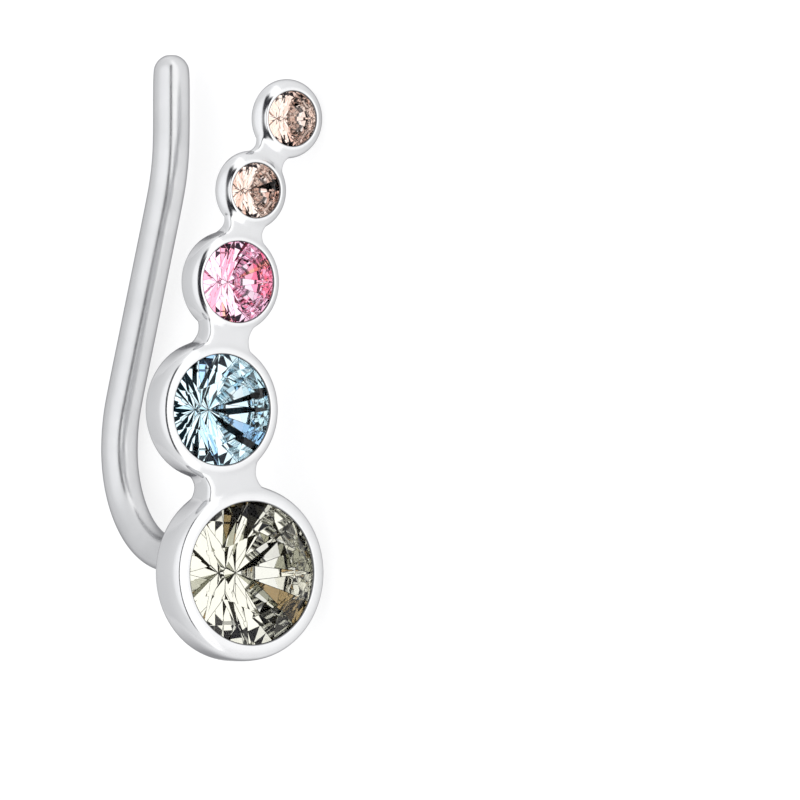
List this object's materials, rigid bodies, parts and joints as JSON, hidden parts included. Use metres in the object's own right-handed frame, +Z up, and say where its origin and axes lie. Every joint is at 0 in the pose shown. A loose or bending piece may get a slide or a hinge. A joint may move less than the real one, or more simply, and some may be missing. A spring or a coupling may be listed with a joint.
{
  "type": "ear climber",
  "caption": "Ear climber: a slightly curved silver row of graded round crystal settings, with a long bent ear wire soldered behind the largest.",
  "frame": {"origin": "centre of the footprint at the surface that the loose piece lies on", "axes": "+X along the row from the largest setting to the smallest, -Y the way the stones face as the piece lies on its side, +Z up from the surface"},
  "size_m": [0.0174, 0.0084, 0.0054],
  "materials": {
    "silver": "rhodium-bright polished sterling silver with fine hairline scratches",
    "smoky_crystal": "faceted foil-backed crystal, smoky grey-olive",
    "ice_blue_crystal": "faceted foil-backed crystal, pale ice blue",
    "rose_crystal": "faceted foil-backed crystal, light rose",
    "peach_crystal": "faceted foil-backed crystal, pale peach"
  },
  "bodies": {
    "root": {"setting_row": "silver", "lowest_stone": "smoky_crystal", "fourth_stone": "ice_blue_crystal", "third_stone": "rose_crystal", "second_stone": "peach_crystal", "top_stone": "peach_crystal"}
  },
  "joints": []
}
